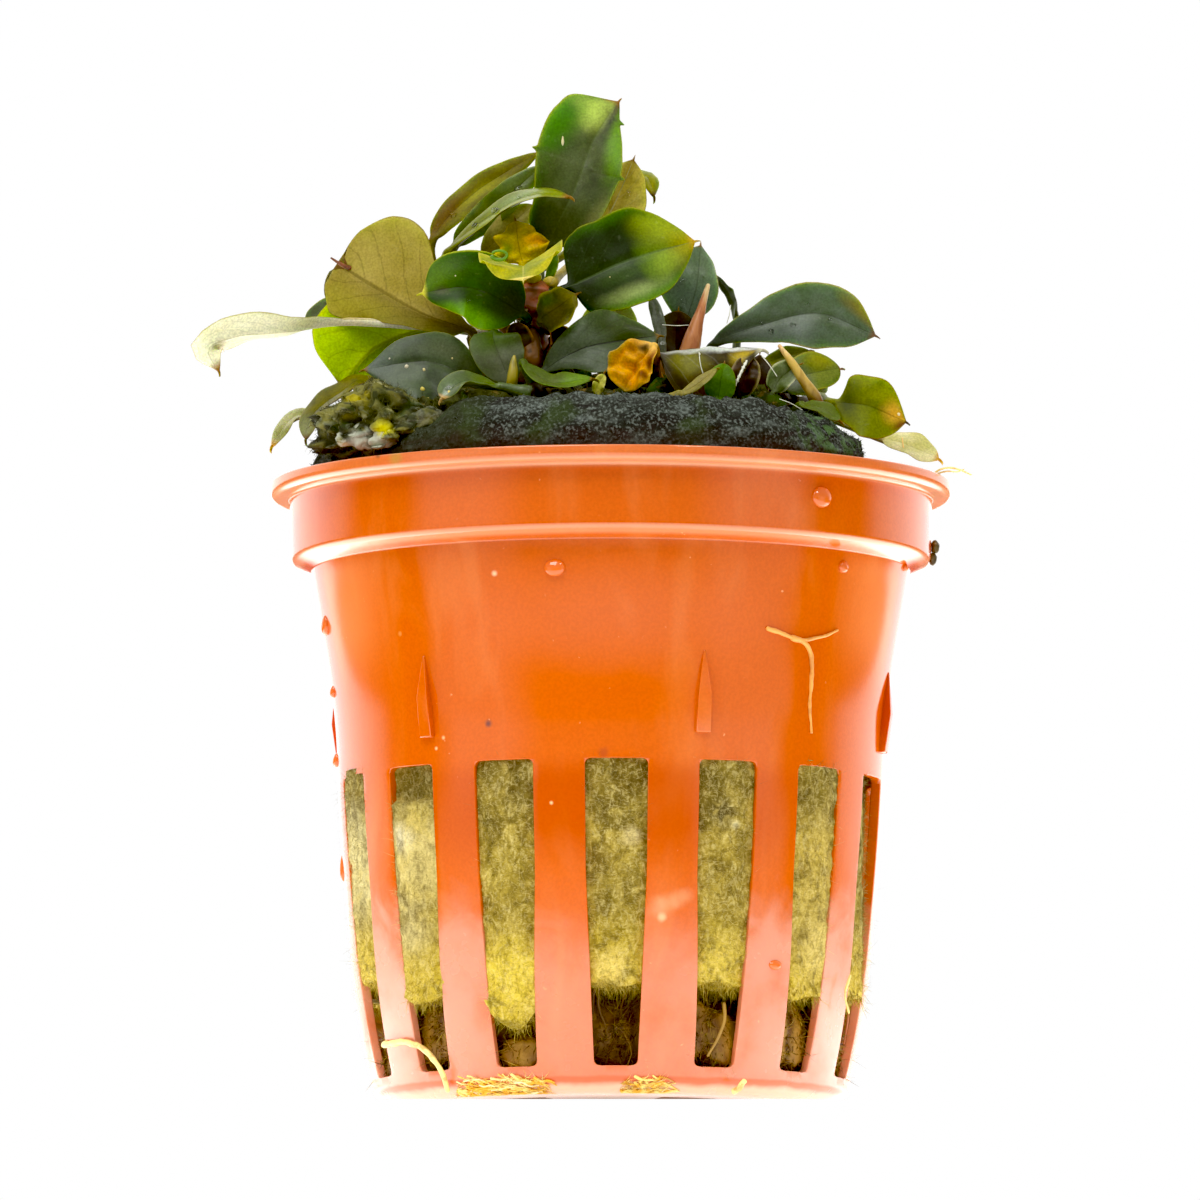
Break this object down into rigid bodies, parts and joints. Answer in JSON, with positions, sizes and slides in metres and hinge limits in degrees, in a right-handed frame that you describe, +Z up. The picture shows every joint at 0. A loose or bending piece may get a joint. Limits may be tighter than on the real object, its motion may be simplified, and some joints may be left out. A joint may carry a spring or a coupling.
{
  "type": "potted bucephalandra sordidula",
  "caption": "Small aquarium plant with glossy dark green, olive and yellow-green leaves on creeping stems, rooted in rock wool in a slotted terracotta-coloured plastic net pot",
  "frame": {"origin": "centre of the pot's flat base, on the pot's axis", "axes": "+Z up; the plant's front, as the picture shows it, faces -Y; +X is to the right in the picture"},
  "size_m": [0.06, 0.055, 0.0818],
  "materials": {
    "pot_plastic": "thin moulded plastic, terracotta orange, satin with soft highlights",
    "rock_wool": "wet packed rock wool fibre, olive yellow, dark blue-green with algae on top",
    "wet_roots": "wet dark brown roots and wool",
    "rhizome_bark": "rough red-brown plant stem",
    "bud_skin": "smooth reddish orange bud",
    "leaf_dark": "wet waxy leaf, dark blue-green",
    "leaf_bright": "wet waxy leaf, bright yellow-green",
    "leaf_olive": "wet waxy leaf, olive brown",
    "leaf_pale": "thin pale cream leaf, slightly see-through",
    "leaf_dying": "soft decaying leaf, orange"
  },
  "bodies": {
    "root": {"pot": "pot_plastic", "wool_plug": "rock_wool", "wool_lump": "rock_wool", "root_mass": "wet_roots", "rhizome_main": "rhizome_bark", "stem_centre": "rhizome_bark", "stem_left": "rhizome_bark", "stem_back_left": "rhizome_bark", "rhizome_right": "rhizome_bark", "rhizome_front": "rhizome_bark", "rhizome_back": "rhizome_bark", "bud_right": "bud_skin", "bud_far_right": "bud_skin", "bud_front": "bud_skin", "leaf_01": "leaf_dark", "leaf_04": "leaf_dark", "leaf_05": "leaf_dark", "leaf_06": "leaf_dark", "leaf_07": "leaf_dark", "leaf_10": "leaf_dark", "leaf_15": "leaf_dark", "leaf_16": "leaf_dark", "leaf_17": "leaf_dark", "leaf_18": "leaf_dark", "leaf_24": "leaf_dark", "leaf_31": "leaf_dark", "leaf_38": "leaf_dark", "leaf_39": "leaf_dark", "leaf_41": "leaf_dark", "leaf_42": "leaf_dark", "leaf_45": "leaf_dark", "leaf_03": "leaf_bright", "leaf_11": "leaf_bright", "leaf_14": "leaf_bright", "leaf_19": "leaf_bright", "leaf_20": "leaf_bright", "leaf_21": "leaf_bright", "leaf_25": "leaf_bright", "leaf_32": "leaf_bright", "leaf_34": "leaf_bright", "leaf_37": "leaf_bright", "leaf_40": "leaf_bright", "leaf_46": "leaf_bright", "leaf_02": "leaf_olive", "leaf_08": "leaf_olive", "leaf_12": "leaf_olive", "leaf_22": "leaf_olive", "leaf_23": "leaf_olive", "leaf_26": "leaf_olive", "leaf_27": "leaf_olive", "leaf_29": "leaf_olive", "leaf_33": "leaf_olive", "leaf_36": "leaf_olive", "leaf_43": "leaf_olive", "leaf_44": "leaf_olive", "leaf_13": "leaf_pale", "leaf_28": "leaf_pale", "leaf_30": "leaf_pale", "leaf_35": "leaf_pale", "leaf_09": "leaf_dying"}
  },
  "joints": []
}
